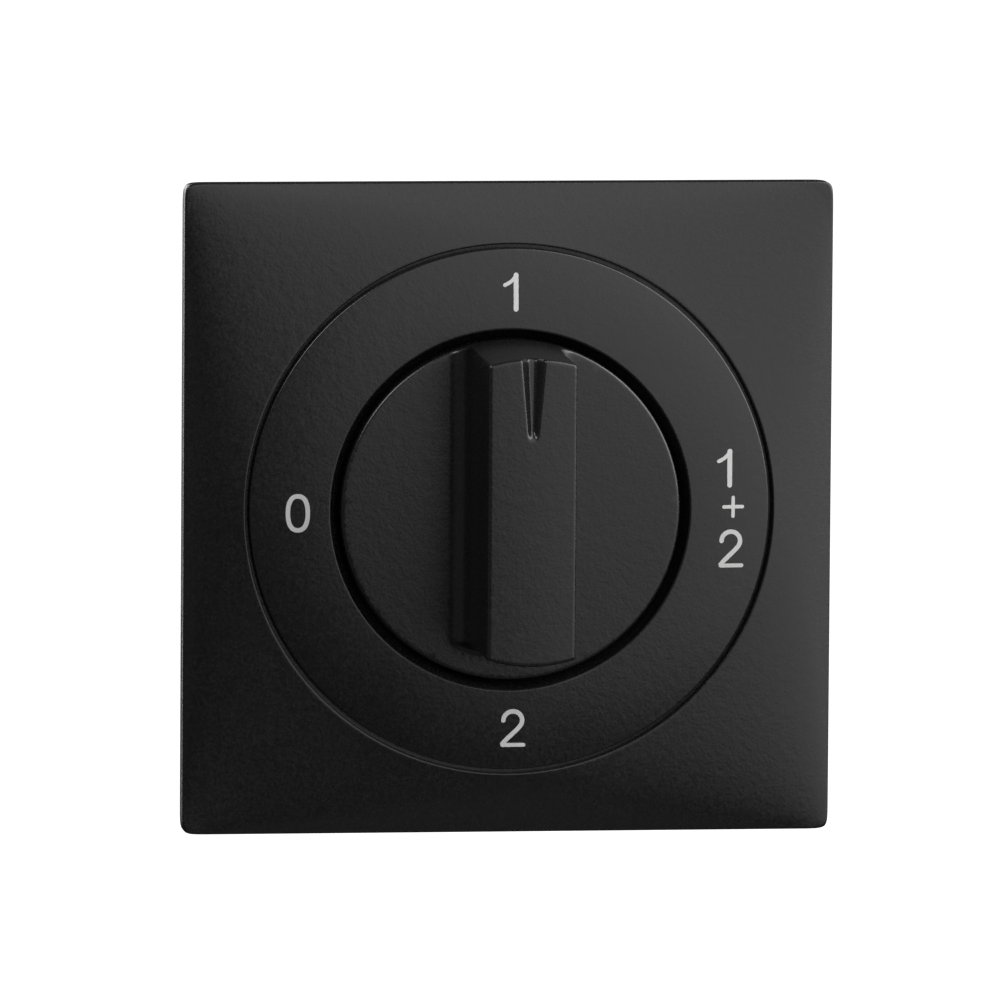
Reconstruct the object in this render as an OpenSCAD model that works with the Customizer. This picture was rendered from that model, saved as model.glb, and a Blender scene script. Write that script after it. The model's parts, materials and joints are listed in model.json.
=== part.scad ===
// Four-position rotary battery selector switch (0, 1, 1+2, 2) with a square
// clip-on trim frame, for flush mounting in a panel.
//
// Every module is drawn in dial coordinates: x to the right, y up the dial and
// z out of the panel, towards the person who turns the knob. The last lines
// stand the switch up, so that the dial's z points along -Y and its y along +Z.
// The origin is on the knob's axis, in the panel's front surface.

/* [Trim frame and dial] */
// Width and height of the square trim frame
frame_w = 88; // [87:0.5:90]
// Radius of the frame's four outer corners, as a superellipse power
frame_corner_power = 74; // [40:1:90]
// Height of the frame's rim above the panel
rim_h = 2.8; // [2.6:0.1:3.2]
// Height of the crowned surface on the knob's axis
crown_h = 5.75; // [5.6:0.05:6]
// Radius of the round opening in the frame
frame_bore_r = 35.8; // [35.6:0.1:36]
// Outer radius of the dial ring
ring_r = 35.25; // [35:0.05:35.3]
// Inner radius of the dial ring
ring_bore_r = 24.3; // [24:0.1:24.5]
// Height of the numerals on the dial
digit_h = 5.2; // [4.8:0.1:5.4]

/* [Knob] */
// Radius of the knob's disc
disc_r = 23; // [22.6:0.1:23.2]
// Height of the disc's face above the panel
disc_h = 6.1; // [6:0.1:6.4]
// Width of the grip where it leaves the disc
grip_w = 12; // [11:0.1:12.5]
// Height of the grip above the disc
grip_h = 22; // [20:0.5:24]
// Reach of the grip's pointer end from the axis
grip_front_r = 22.95; // [22.4:0.05:22.95]
// Reach of the grip's plain end from the axis
grip_back_r = 18.85; // [17:0.05:20]

/* [Body behind the panel] */
// Radius of the round body that goes through the panel
body_r = 34; // [33.8:0.1:34.4]
// Depth of the body behind the panel
body_depth = 38; // [37:0.5:40]
// Radius of the contact chamber
chamber_r = 27.2; // [27:0.1:27.4]
// Distance between neighbouring panel screws
panel_screw_pitch = 60; // [58:0.5:62]
// Radius of the clearance holes for the panel screws
panel_hole_r = 2.25; // [2.1:0.05:2.4]

/* [Terminals] */
// Radius of the circle that the three studs stand on
stud_circle_r = 20.5; // [20.3:0.1:20.7]
// Radius of the stud's thread
stud_r = 4; // [3.9:0.05:4.1]
// How far the studs reach behind the panel
stud_reach = 62; // [60:0.5:66]

/* [Hidden] */
$fn = 96;
eps = 0.01;
quarter = [0, 90, 180, 270];

// Heights on the dial's z axis, from the front to the back
gasket_top = 0.8;
plate_top = 2.0;
ledge_top = 3.0;
shell = 1.6;
disc_under = 3.9;
skirt_bottom = 3.4;
tower_top = 2.6;
wall_front = gasket_top;
wall_back = -3.2;
flange_top = -4.1;
flange_bottom = -5.6;
cam_top = -5.7;
cam_bottom = -11.4;
carrier_top = -12.2;
joint_z = -14;
spindle_end = -17.6;
recess_floor = -20;
bridge_top = -20.5;
carrier_bottom = -21.5;
tip_top = -23.2;
tip_bottom = -23.97;
contact_z = -24;
floor_z = -27;
tongue_bottom = -30;
pilot_end = -33;
rear_z = -body_depth;

// Radii shared by parts that fit together
bearing_r = 5;
bush_bore_r = 5.03;
bush_r = 7;
tower_r = 10;
spindle_nose_r = 4;
square_w = 8;
pilot_r = 3.95;
pilot_bore_r = 4.0;
body_screw_circle = 30.6;
plate_screw_circle = 28.9;
ring_peg_circle = 31.5;
frame_peg_reach = 37.8;
peg_r = 1.2;
screw_r = 1.5;
track_in = 14.6;
track_out = 26.5;
output_r = 11.4;
stud_hole_r = stud_r + 0.1;
stud_angles = [60, -60, 180];
thread_core_r = stud_r - 0.4;

// Places along the studs
base_nut_h = 4;
washer_h = 1.6;
lock_washer_h = 2;
nut_h = 6.5;
washer_z = rear_z - base_nut_h;
lock_washer_z = washer_z - washer_h;
nut_z = lock_washer_z - lock_washer_h;
free_end_z = nut_z - nut_h;

// ---------------------------------------------------------------- helpers

// Height of the crowned face at a distance a from the axis
function crown(a) = crown_h - (crown_h - rim_h) * pow(a / (frame_w / 2), 5);

function polar(r, angle) = [r * cos(angle), r * sin(angle)];

module at_polar(r, angles, z = 0) {
    for (a = angles) translate([r * cos(a), r * sin(a), z]) children();
}

// A ring or disc between two heights
module tube(r_out, r_in, z0, z1) {
    translate([0, 0, z0]) difference() {
        cylinder(r = r_out, h = z1 - z0);
        translate([0, 0, -1]) cylinder(r = r_in, h = z1 - z0 + 2);
    }
}

module rod(r, z0, z1) {
    translate([0, 0, z0]) cylinder(r = r, h = z1 - z0);
}

// Part of a ring between two angles
module sector(r_in, r_out, a0, a1, z0, z1) {
    translate([0, 0, z0]) rotate([0, 0, a0]) rotate_extrude(angle = a1 - a0)
        translate([r_in, 0]) square([r_out - r_in, z1 - z0]);
}

// A box centred on the axis in x and y
module block(w, l, z0, z1) {
    translate([-w / 2, -l / 2, z0]) cube([w, l, z1 - z0]);
}

// Outline of a strip of width w along a smooth path
function path_normal(p, i) =
    let (a = p[max(i - 1, 0)], b = p[min(i + 1, len(p) - 1)], d = b - a)
    [-d[1], d[0]] / norm(d);
function strip_outline(p, w) = concat(
    [for (i = [0 : len(p) - 1]) p[i] + path_normal(p, i) * w / 2],
    [for (i = [len(p) - 1 : -1 : 0]) p[i] - path_normal(p, i) * w / 2]
);
// The same strip with round ends, like a pen stroke
function half_turn(c, n, r) = [for (a = [30 : 30 : 150])
    c + r * [n[0] * cos(a) + n[1] * sin(a), n[1] * cos(a) - n[0] * sin(a)]];
function stroke_outline(p, w) =
    let (last = len(p) - 1)
    concat([for (i = [0 : last]) p[i] + path_normal(p, i) * w / 2],
        half_turn(p[last], path_normal(p, last), w / 2),
        [for (i = [last : -1 : 0]) p[i] - path_normal(p, i) * w / 2],
        half_turn(p[0], -path_normal(p, 0), w / 2));
module stroke(p, w) {
    linear_extrude(mark_tool_h) polygon(stroke_outline(p, w));
}

function ellipse_arc(c, rx, ry, a0, a1, step) =
    [for (a = [a0 : step : a1]) [c[0] + rx * cos(a), c[1] + ry * sin(a)]];
function bezier(p0, p1, p2, p3, n) =
    [for (i = [1 : n]) let (t = i / n, u = 1 - t)
        u * u * u * p0 + 3 * u * u * t * p1 + 3 * u * t * t * p2 + t * t * t * p3];
function superellipse(rx, ry, power, n) =
    [for (i = [0 : n - 1]) let (a = 360 * i / n, c = cos(a), s = sin(a))
        [rx * sign(c) * pow(abs(c), 2 / power), ry * sign(s) * pow(abs(s), 2 / power)]];

// ---------------------------------------------------------------- numerals

pen = 0.61;
serif_pen = 0.5;
plus_pen = 0.47;
half_digit = (digit_h - pen) / 2;
mark_tool_h = 4;

module digit_zero() {
    difference() {
        linear_extrude(mark_tool_h) polygon(superellipse(1.335 + pen / 2, digit_h / 2, 2.35, 48));
        translate([0, 0, -1]) linear_extrude(mark_tool_h + 2)
            polygon(superellipse(1.335 - pen / 2, digit_h / 2 - pen, 2.35, 48));
    }
}

module digit_one() {
    stroke([[0, -half_digit], [0, half_digit]], pen + 0.05);
    stroke(bezier([0, half_digit], [-0.22, 1.75], [-0.7, 1.3], [-1.52, 0.95], 8), serif_pen);
}

module digit_two() {
    bowl = ellipse_arc([-0.04, 1.06], 1.275, half_digit - 1.06, 180, -32, -14);
    tail = bezier([1.041, 0.385], [0.62, -0.26], [-0.95, -1.45], [-1.41, -2.15], 8);
    stroke(concat(bowl, tail), pen);
    stroke([[-1.41, -half_digit], [1.46, -half_digit]], pen - 0.08);
}

module plus_sign() {
    arm = 1.27;
    stroke([[-arm, 0], [arm, 0]], plus_pen);
    stroke([[0, -arm], [0, arm]], plus_pen);
}

// Each position's name, where it stands on the dial
module dial_numerals() {
    translate([0.57, 29.4]) digit_one();
    translate([0.55, -29.6]) digit_two();
    translate([-28.8, -0.28]) digit_zero();
    translate([29.8, 5.42]) digit_one();
    translate([30.3, 0.19]) plus_sign();
    translate([30.06, -5.48]) digit_two();
}

// ---------------------------------------------------------------- trim frame

rim_round = 0.3;
side_wall = 1.5;
// Directions from the axis, closer together towards the corners
octant = [0, 11, 21, 29, 35, 39.5, 42.3, 43.9];
frame_angles = [for (q = quarter) each concat(
    [for (a = octant) q + a], [q + 45], [for (i = [7 : -1 : 1]) q + 90 - octant[i]])];

// A closed loop of points: a circle at power 2, and nearly a square at a high one
function frame_loop(a, power, z) =
    [for (f = frame_angles)
        let (d = pow(pow(abs(cos(f)), power) + pow(abs(sin(f)), power), 1 / power))
        [a * cos(f) / d, a * sin(f) / d, z]];
function loop_power(a) =
    let (t = max(0, (a - frame_bore_r) / (frame_w / 2 - frame_bore_r)))
    2 / (1 - pow(t, 1.2) * (1 - 2 / frame_corner_power));
half_w = frame_w / 2;
face_steps = [0, 0.12, 0.25, 0.38, 0.5, 0.62, 0.74, 0.85, 0.93];
lip_r = frame_bore_r + 1.2;
frame_loops = concat(
    [for (t = face_steps) let (a = frame_bore_r + t * (half_w - frame_bore_r))
        frame_loop(a, loop_power(a), crown(a))],
    [frame_loop(half_w - rim_round, frame_corner_power, rim_h),
     frame_loop(half_w - rim_round * 0.3, frame_corner_power, rim_h - rim_round * 0.3),
     frame_loop(half_w, frame_corner_power, rim_h - rim_round),
     frame_loop(half_w, frame_corner_power, 0),
     frame_loop(half_w - side_wall, frame_corner_power, 0)],
    [for (a = [half_w - side_wall, 40.6, 38.6])
        frame_loop(a, loop_power(a), crown(a) - side_wall)],
    [frame_loop(lip_r, 2, ledge_top), frame_loop(lip_r, 2, plate_top + 0.1),
     frame_loop(frame_bore_r - 1.3, 2, plate_top + 0.1), frame_loop(frame_bore_r - 1.3, 2, ledge_top),
     frame_loop(frame_bore_r, 2, ledge_top)]
);

module face_frame() {
    n = len(frame_angles);
    m = len(frame_loops);
    points = [for (ring = frame_loops) each ring];
    faces = [for (j = [0 : m - 1], i = [0 : n - 1])
        let (a = j * n + i, b = j * n + (i + 1) % n, k = (j + 1) % m,
             c = k * n + (i + 1) % n, d = k * n + i)
        each [[a, b, c], [a, c, d]]];
    color("#242424") {
        polyhedron(points = points, faces = faces);
        at_polar(frame_peg_reach, quarter) rod(peg_r, gasket_top + 0.1, ledge_top);
    }
}

// ---------------------------------------------------------------- dial ring

edge_round = 0.25;
mark_depth = 0.25;
mark_proud = 0.03;
ring_radii = [for (i = [0 : 6]) ring_bore_r + edge_round
    + i / 6 * (ring_r - ring_bore_r - 2 * edge_round)];

// Points on the crowned face of the ring, raised by lift
function ring_face(lift) = [for (r = ring_radii) [r, crown(r) + lift]];

module dial_ring() {
    wall = 1.4;
    profile = concat(
        [[ring_bore_r, ledge_top], [ring_bore_r, crown(ring_bore_r) - edge_round]],
        ring_face(0),
        [[ring_r, crown(ring_r) - edge_round], [ring_r, ledge_top + 0.1],
         [ring_r - wall, ledge_top + 0.1], [ring_r - wall, crown(ring_r) - shell],
         [ring_bore_r + wall, crown(ring_bore_r) - shell], [ring_bore_r + wall, 2.2],
         [19.5, 2.2], [19.5, ledge_top]]);
    color("#242424") difference() {
        union() {
            rotate_extrude() polygon(profile);
            at_polar(ring_peg_circle, [for (q = quarter) q + 20]) rod(peg_r, gasket_top + 0.1, 3.9);
        }
        mark_band(-mark_depth, 1) dial_numerals();
    }
}

// The numerals, cut to a band that follows the crowned face
module mark_band(low, high) {
    intersection() {
        translate([0, 0, ledge_top]) children();
        rotate_extrude() polygon(concat(ring_face(low),
            [for (i = [len(ring_radii) - 1 : -1 : 0]) ring_face(high)[i]]));
    }
}

module dial_marks() {
    color("#c4c4c4") mark_band(-mark_depth, mark_proud) dial_numerals();
}

// ---------------------------------------------------------------- panel side

plate_w = 80;
plate_corner_r = 50;
gasket_bore_r = body_r + 1.2;

module at_panel_screws() {
    p = panel_screw_pitch / 2;
    for (x = [-p, p], y = [-p, p]) translate([x, y, 0]) children();
}

// The plate's square outline with its corners cut back to a circle
module plate_blank(z0, z1) {
    intersection() {
        block(plate_w, plate_w, z0, z1);
        rod(plate_corner_r, z0, z1);
    }
}

module mounting_plate() {
    color("#b9bcc0") difference() {
        plate_blank(gasket_top, plate_top);
        rod(tower_r + 0.2, 0, 3);
        at_panel_screws() rod(panel_hole_r, 0, 3);
        at_polar(plate_screw_circle, [for (q = quarter) q + 45]) rod(screw_r + 0.2, 0, 3);
        at_polar(ring_peg_circle, [for (q = quarter) q + 20]) rod(peg_r + 0.05, 0, 3);
        at_polar(frame_peg_reach, quarter) rod(peg_r + 0.05, 0, 3);
    }
}

module panel_gasket() {
    color("#1c1c1c") difference() {
        plate_blank(0, gasket_top);
        rod(gasket_bore_r, -1, 2);
        at_panel_screws() rod(panel_hole_r, -1, 2);
    }
}

module plate_screws() {
    head_h = 1.4;
    color("#c8c8c8") at_polar(plate_screw_circle, [for (q = quarter) q + 45]) difference() {
        union() {
            rod(2.75, plate_top, plate_top + head_h);
            rod(screw_r, -2.4, plate_top + eps);
        }
        translate([0, 0, plate_top + head_h - 0.9]) cylinder(r = 1.15, h = 2, $fn = 6);
    }
}

// ---------------------------------------------------------------- knob

grip_top = disc_h + grip_h;
draft = 0.1;
end_draft = 0.18;
bore_top = 19.5;
clip_gap_y = -3.1;
flat_start = 5;
pointer_length = 10.25;
grip_wall = 1.9;

// A six-sided solid between a bottom and a top rectangle: each is [x0, x1, y0, y1, z]
module wedge_box(b, t) {
    polyhedron(
        points = [[b[0], b[2], b[4]], [b[1], b[2], b[4]], [b[1], b[3], b[4]], [b[0], b[3], b[4]],
                  [t[0], t[2], t[4]], [t[1], t[2], t[4]], [t[1], t[3], t[4]], [t[0], t[3], t[4]]],
        faces = [[0, 1, 2, 3], [7, 6, 5, 4], [0, 4, 5, 1], [1, 5, 6, 2], [2, 6, 7, 3], [3, 7, 4, 0]]);
}

// The grip's steps: height above the disc's face, and how far the concave foot spreads there
grip_steps = [[-0.5, 2.8], [0.35, 1.25], [1, 0.5], [2.6, 0], [grip_h, 0]];

// Half of the grip, from the axis to its pointer end or to its plain end
module half_grip(reach, side, foot_share) {
    function wall(s) = grip_w / 2 - draft * s[0] / grip_h + s[1];
    function radius(s) = reach - end_draft * s[0] / grip_h + foot_share * s[1];
    function edges(s) = [-wall(s), wall(s), min(0, side * 30), max(0, side * 30), disc_h + s[0]];
    for (i = [0 : len(grip_steps) - 2]) {
        low = grip_steps[i];
        high = grip_steps[i + 1];
        intersection() {
            translate([0, 0, disc_h + low[0]])
                cylinder(r1 = radius(low), r2 = radius(high), h = high[0] - low[0]);
            wedge_box(edges(low), edges(high));
        }
    }
}

// The pointer: a tapering trough in the top of the grip, open at the pointer end
module pointer_trough() {
    y0 = grip_front_r - pointer_length;
    y1 = grip_front_r + 1;
    lean = 0.66;
    a = [0.25, 0.7];
    b = [0.62, 1.5];
    wa = a[0] + lean * (a[1] + 1);
    wb = b[0] + lean * (b[1] + 1);
    z = grip_top;
    polyhedron(
        points = [[-a[0], y0, z - a[1]], [a[0], y0, z - a[1]], [b[0], y1, z - b[1]], [-b[0], y1, z - b[1]],
                  [-wa, y0, z + 1], [wa, y0, z + 1], [wb, y1, z + 1], [-wb, y1, z + 1]],
        faces = [[0, 1, 2, 3], [7, 6, 5, 4], [0, 4, 5, 1], [1, 5, 6, 2], [2, 6, 7, 3], [3, 7, 4, 0]]);
}

// The two hollows under the grip, on both sides of the hub
module grip_hollows() {
    top = grip_top - 4.5;
    w = grip_w - 2 * grip_wall;
    difference() {
        translate([-w / 2, -grip_back_r + 2.2, 0]) cube([w, grip_back_r + grip_front_r - 4.4, top]);
        rod(6.2, -1, top + 1);
    }
}

module knob() {
    color("#232323") difference() {
        union() {
            rotate_extrude() polygon([[0, disc_under], [disc_r - 1.4, disc_under],
                [disc_r - 1.4, skirt_bottom], [disc_r, skirt_bottom], [disc_r, disc_h - 0.35],
                [disc_r - 0.1, disc_h - 0.1], [disc_r - 0.35, disc_h], [0, disc_h]]);
            half_grip(grip_front_r, 1, 0);
            half_grip(grip_back_r, -1, 0.5);
            rod(5.6, skirt_bottom + 0.1, disc_h);
        }
        grip_hollows();
        pointer_trough();
        rod(spindle_nose_r + 0.05, 0, flat_start + 0.2);
        intersection() {
            rod(spindle_nose_r + 0.05, 0, bore_top);
            translate([-6, clip_gap_y, 0]) cube([12, 12, bore_top]);
        }
    }
}

module knob_clip() {
    color("#8d9096") {
        translate([-2.4, clip_gap_y + 0.02, flat_start + 0.5]) cube([4.8, 0.43, 13]);
    }
}

// ---------------------------------------------------------------- spindle

spindle_flat_y = -2.6;
clip_z = 2.7;
clip_h = 0.6;
seal_z = -0.4;
seal_wire_r = 0.6;
seal_groove_r = bearing_r - 2 * seal_wire_r;

module spindle() {
    color("#a9adb2") difference() {
        union() {
            difference() {
                rod(spindle_nose_r, tower_top - eps, 19);
                translate([-6, spindle_flat_y - 6, flat_start]) cube([12, 6, 20]);
            }
            rod(bearing_r, flange_top, tower_top);
            rod(6.5, flange_bottom, flange_top);
            block(square_w, square_w, spindle_end, flange_bottom);
        }
        tube(8, 3.3, clip_z, clip_z + clip_h);
        tube(8, seal_groove_r, seal_z - 0.8, seal_z + 0.8);
    }
}

module spindle_bush() {
    color("#b8944a") tube(bush_r, bush_bore_r, wall_back, tower_top);
}

module spindle_seal() {
    color("#151515") translate([0, 0, seal_z]) rotate_extrude()
        translate([bearing_r - seal_wire_r, 0]) circle(r = seal_wire_r);
}

module spindle_clip() {
    color("#7f8287") difference() {
        tube(6.2, 3.35, clip_z, clip_z + clip_h);
        translate([-1.6, -8, 2]) cube([3.2, 6, 3]);
    }
}

module thrust_washer() {
    color("#e8e6df") tube(9, bearing_r + 0.1, flange_top + 0.1, wall_back - 0.1);
}

// ---------------------------------------------------------------- front housing and detent

leaf_x = 16.5;
leaf_end_y = 17;
leaf_t = 0.5;
leaf_z = [-10.8, -6.2];
valley_r = 12.6;
lobe_r = 15;

// The housings' round outline, with its edges broken by c0 at the back and c1 at the front
module body_blank(z0, z1, c0, c1) {
    rotate_extrude() polygon([[0, z0], [body_r - c0, z0], [body_r, z0 + c0],
        [body_r, z1 - c1], [body_r - c1, z1], [0, z1]]);
}

module front_housing() {
    post = 4.4;
    color("#2e2f31") {
        difference() {
            union() {
                body_blank(joint_z, wall_front, 0.4, 0.5);
                rod(tower_r, wall_front - eps, tower_top);
            }
            rod(chamber_r, joint_z - 1, wall_back);
            rod(bush_r, wall_back - 1, tower_top + 1);
            at_polar(plate_screw_circle, [for (q = quarter) q + 45]) rod(screw_r, -2.6, 1);
            at_polar(body_screw_circle, [for (q = quarter) q + 45]) rod(screw_r, joint_z - 1, -4.5);
        }
        for (sx = [-1, 1], sy = [-1, 1]) difference() {
            translate([sx * (leaf_x + 1.5), sy * leaf_end_y, 0]) block(post + 3, post, -11.8, wall_back + eps);
            translate([sx * leaf_x, sy * (leaf_end_y - 1), 0]) block(leaf_t + 0.1, post, -13, -5.6);
        }
    }
}

// A leaf that bows in to a rounded nose; the nose rests in a valley of the cam
function leaf_path(side) =
    let (tip = valley_r + leaf_t / 2 + 0.02, r = 1.8, flank = 48, cx = tip + r,
         out = [cx - r * cos(flank), r * sin(flank)],
         run = (leaf_x - out[0]) / tan(flank))
    [for (p = concat(
        [[leaf_x, -leaf_end_y], [leaf_x, -out[1] - run - 1], [leaf_x - 0.2, -out[1] - run]],
        [for (a = [-flank : 16 : flank]) [cx - r * cos(a), r * sin(a)]],
        [[leaf_x - 0.2, out[1] + run], [leaf_x, out[1] + run + 1], [leaf_x, leaf_end_y]]))
        [side * p[0], p[1]]];

module detent_springs() {
    color("#9a9da3") for (side = [-1, 1])
        translate([0, 0, leaf_z[0]]) linear_extrude(leaf_z[1] - leaf_z[0])
            polygon(strip_outline(leaf_path(side), leaf_t));
}

module detent_cam() {
    mean = (lobe_r + valley_r) / 2;
    swing = (lobe_r - valley_r) / 2;
    color("#e9e7e0") difference() {
        translate([0, 0, cam_bottom]) linear_extrude(cam_top - cam_bottom)
            polygon([for (a = [0 : 4 : 356]) polar(mean - swing * cos(4 * a), a)]);
        block(square_w + 0.1, square_w + 0.1, cam_bottom - 1, cam_top + 1);
    }
}

// ---------------------------------------------------------------- moving contact

bridge_ring_r = 10.4;
bridge_bore_r = 4.4;
bridge_arm_w = 9;
pad_in = 15;
pad_out = 25.6;
pad_half_angle = 12.5;
spring_spots = [[0, 20.5], [-7.4, 0], [7.4, 0]];
spring_pocket_r = 2.4;
spring_mean_r = 1.85;
spring_wire_r = 0.35;
spring_turns = 4;
spring_top = -15;

// The bridge's keyhole outline, grown by g on every side
module bridge_blank(g, z0, z1) {
    rod(bridge_ring_r + g, z0, z1);
    translate([-bridge_arm_w / 2 - g, 6, z0]) cube([bridge_arm_w + 2 * g, 14, z1 - z0]);
    sector(pad_in - g, pad_out + g, 90 - pad_half_angle - g * 3, 90 + pad_half_angle + g * 3, z0, z1);
}

module contact_carrier() {
    color("#8c2f24") {
        difference() {
            rod(chamber_r - 0.6, carrier_bottom, carrier_top);
            block(square_w + 0.1, square_w + 0.1, spindle_end - 0.2, carrier_top + 1);
            bridge_blank(0.3, carrier_bottom - 1, recess_floor);
            for (p = spring_spots) translate(p) rod(spring_pocket_r, carrier_bottom - 1, spring_top);
        }
        rod(pilot_r, pilot_end, recess_floor + eps);
    }
}

module contact_bridge() {
    color("#b87348") difference() {
        bridge_blank(0, tip_top, bridge_top);
        rod(bridge_bore_r, tip_top - 1, bridge_top + 1);
    }
}

module bridge_tips() {
    color("#d9dadc") {
        tube(9.4, 5, tip_bottom, tip_top);
        sector(15.5, 25.2, 90 - 11.5, 90 + 11.5, tip_bottom, tip_top);
    }
}

// A coil spring with closed ends: the pitch is small at both ends
module coil(z0, z1) {
    sides = 6;
    steps = 16;
    n = spring_turns * steps;
    low = z0 + spring_wire_r;
    high = z1 - spring_wire_r;
    points = [for (i = [0 : n])
        let (a = 360 * i / steps, t = i / n, eased = t * t * (3 - 2 * t), z = low + eased * (high - low))
        each [for (k = [0 : sides - 1]) let (b = 360 * k / sides, r = spring_mean_r + spring_wire_r * cos(b))
            [r * cos(a), r * sin(a), z + spring_wire_r * sin(b)]]];
    sleeve = [for (i = [0 : n - 1], k = [0 : sides - 1])
        let (a = i * sides + k, b = i * sides + (k + 1) % sides, c = b + sides, d = a + sides)
        each [[a, b, c], [a, c, d]]];
    ends = [[for (k = [sides - 1 : -1 : 0]) k], [for (k = [0 : sides - 1]) n * sides + k]];
    polyhedron(points = points, faces = concat(sleeve, ends));
}

module contact_springs() {
    color("#a3a6ab") for (p = spring_spots) translate(p) coil(bridge_top, spring_top);
}

// ---------------------------------------------------------------- fixed contacts

battery_arc = [3, 103];
head_r = 5.4;
head_h = 1.9;
head_sink = 2.2;

module battery_contact(side) {
    a0 = side > 0 ? battery_arc[0] : -battery_arc[1];
    a1 = side > 0 ? battery_arc[1] : -battery_arc[0];
    color("#b87348") difference() {
        sector(track_in, track_out, a0, a1, floor_z, contact_z);
        at_polar(stud_circle_r, [side * stud_angles[0]]) {
            rod(head_r + 0.1, contact_z - head_sink, contact_z + 1);
            rod(stud_hole_r, floor_z - 1, contact_z);
        }
    }
}

tongue_w = 11;
tongue_reach = 26;

module output_contact() {
    color("#b87348") difference() {
        union() {
            rod(output_r, tongue_bottom, contact_z);
            translate([-tongue_reach, -tongue_w / 2, tongue_bottom]) cube([tongue_reach, tongue_w, floor_z - tongue_bottom]);
        }
        rod(bridge_bore_r, tongue_bottom - 1, contact_z + 1);
        at_polar(stud_circle_r, [stud_angles[2]]) rod(stud_hole_r, tongue_bottom - 1, floor_z + 1);
    }
}

module off_insulator() {
    color("#d8cfae") difference() {
        sector(output_r + 0.4, track_out, 105, 255, floor_z, contact_z - 0.05);
        at_polar(stud_circle_r, [stud_angles[2]]) rod(head_r + 0.1, floor_z - 1, floor_z + head_h + 0.1);
    }
}

// ---------------------------------------------------------------- rear housing

seal_depth = 1.2;
seal_out_r = 28.6;
fin_t = 2.4;
fin_h = 16;
fin_reach = 32.5;
counterbore_z = -34.5;

module body_seal() {
    color("#1a1a1a") tube(seal_out_r, chamber_r + 0.1, joint_z - seal_depth, joint_z);
}

// One of the walls that keep the terminals apart
module barrier() {
    corner = 5;
    inner = -fin_t * 0.29;
    translate([0, fin_t / 2, 0]) rotate([90, 0, 0]) linear_extrude(fin_t)
        polygon([[inner, rear_z + eps], [fin_reach, rear_z + eps], [fin_reach, rear_z - fin_h + corner],
            [fin_reach - corner, rear_z - fin_h], [inner, rear_z - fin_h]]);
}

module rear_housing() {
    color("#2e2f31") {
        difference() {
            body_blank(rear_z, joint_z, 1.4, 0.4);
            rod(chamber_r, floor_z, joint_z + 1);
            rod(seal_out_r, joint_z - seal_depth, joint_z + 1);
            rod(output_r + 0.1, tongue_bottom, floor_z + 1);
            translate([-tongue_reach - 0.1, -tongue_w / 2 - 0.1, tongue_bottom])
                cube([tongue_reach, tongue_w + 0.2, floor_z - tongue_bottom + 1]);
            rod(pilot_bore_r, pilot_end - 0.4, floor_z);
            at_polar(stud_circle_r, stud_angles) rod(stud_hole_r, rear_z - 1, floor_z + 1);
            at_polar(body_screw_circle, [for (q = quarter) q + 45]) {
                rod(screw_r + 0.1, rear_z - 1, joint_z + 1);
                rod(3, rear_z - 1, counterbore_z);
            }
        }
        sector(output_r + 0.4, track_in - 0.4, -battery_arc[1], battery_arc[1], floor_z - eps, contact_z - 0.2);
        for (a = [0, 120, 240]) rotate([0, 0, a]) barrier();
    }
}

module housing_screws() {
    head_h = 3;
    color("#c8c8c8") at_polar(body_screw_circle, [for (q = quarter) q + 45]) difference() {
        union() {
            rod(2.75, counterbore_z - head_h, counterbore_z);
            rod(screw_r, counterbore_z - eps, -5);
        }
        translate([0, 0, counterbore_z - head_h - 1]) cylinder(r = 1.45, h = 2.6, $fn = 6);
    }
}

// ---------------------------------------------------------------- terminals

// A stud with its flat head at z = top. Where a nut grips it, it is drawn at the core of its thread.
module stud(top) {
    chamfer = 0.8;
    rod(head_r, top - head_h, top);
    rod(stud_r, rear_z, top - head_h + eps);
    rod(thread_core_r, rear_z - base_nut_h, rear_z + eps);
    rod(stud_r, nut_z, washer_z);
    rod(thread_core_r, free_end_z - eps, nut_z + eps);
    rod(stud_r, chamfer - stud_reach, free_end_z);
    translate([0, 0, -stud_reach]) cylinder(r1 = stud_r - chamfer, r2 = stud_r, h = chamfer);
}

module battery_stud(side) {
    color("#c9c6bd") at_polar(stud_circle_r, [side * stud_angles[0]]) stud(contact_z - head_sink + head_h);
}

module output_stud() {
    color("#c9c6bd") at_polar(stud_circle_r, [stud_angles[2]]) stud(floor_z + head_h);
}

// A hexagon nut with its corners chamfered on both faces
module nut(z1, h) {
    across_corners_r = 7.5;
    bevel = 0.55;
    difference() {
        intersection() {
            translate([0, 0, z1 - h]) cylinder(r = across_corners_r, h = h, $fn = 6);
            translate([0, 0, z1 - h]) rotate_extrude() polygon([[0, 0], [across_corners_r - 1, 0],
                [across_corners_r, bevel], [across_corners_r, h - bevel], [across_corners_r - 1, h], [0, h]]);
        }
        rod(thread_core_r, z1 - h - 1, z1 + 1);
    }
}

module base_nuts() {
    color("#c9a24f") at_polar(stud_circle_r, stud_angles) nut(rear_z, base_nut_h);
}

module flat_washers() {
    color("#c4c6c9") at_polar(stud_circle_r, stud_angles) tube(8, stud_r + 0.2, lock_washer_z, washer_z);
}

module lock_washers() {
    color("#b2b4b8") at_polar(stud_circle_r, stud_angles)
        rotate([0, 0, 30]) sector(stud_r + 0.15, 6.4, 4, 356, nut_z, lock_washer_z);
}

module terminal_nuts() {
    color("#c4c6c9") at_polar(stud_circle_r, stud_angles) nut(nut_z, nut_h);
}

// ---------------------------------------------------------------- assembly

module upright() {
    rotate([90, 0, 0]) children();
}

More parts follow.
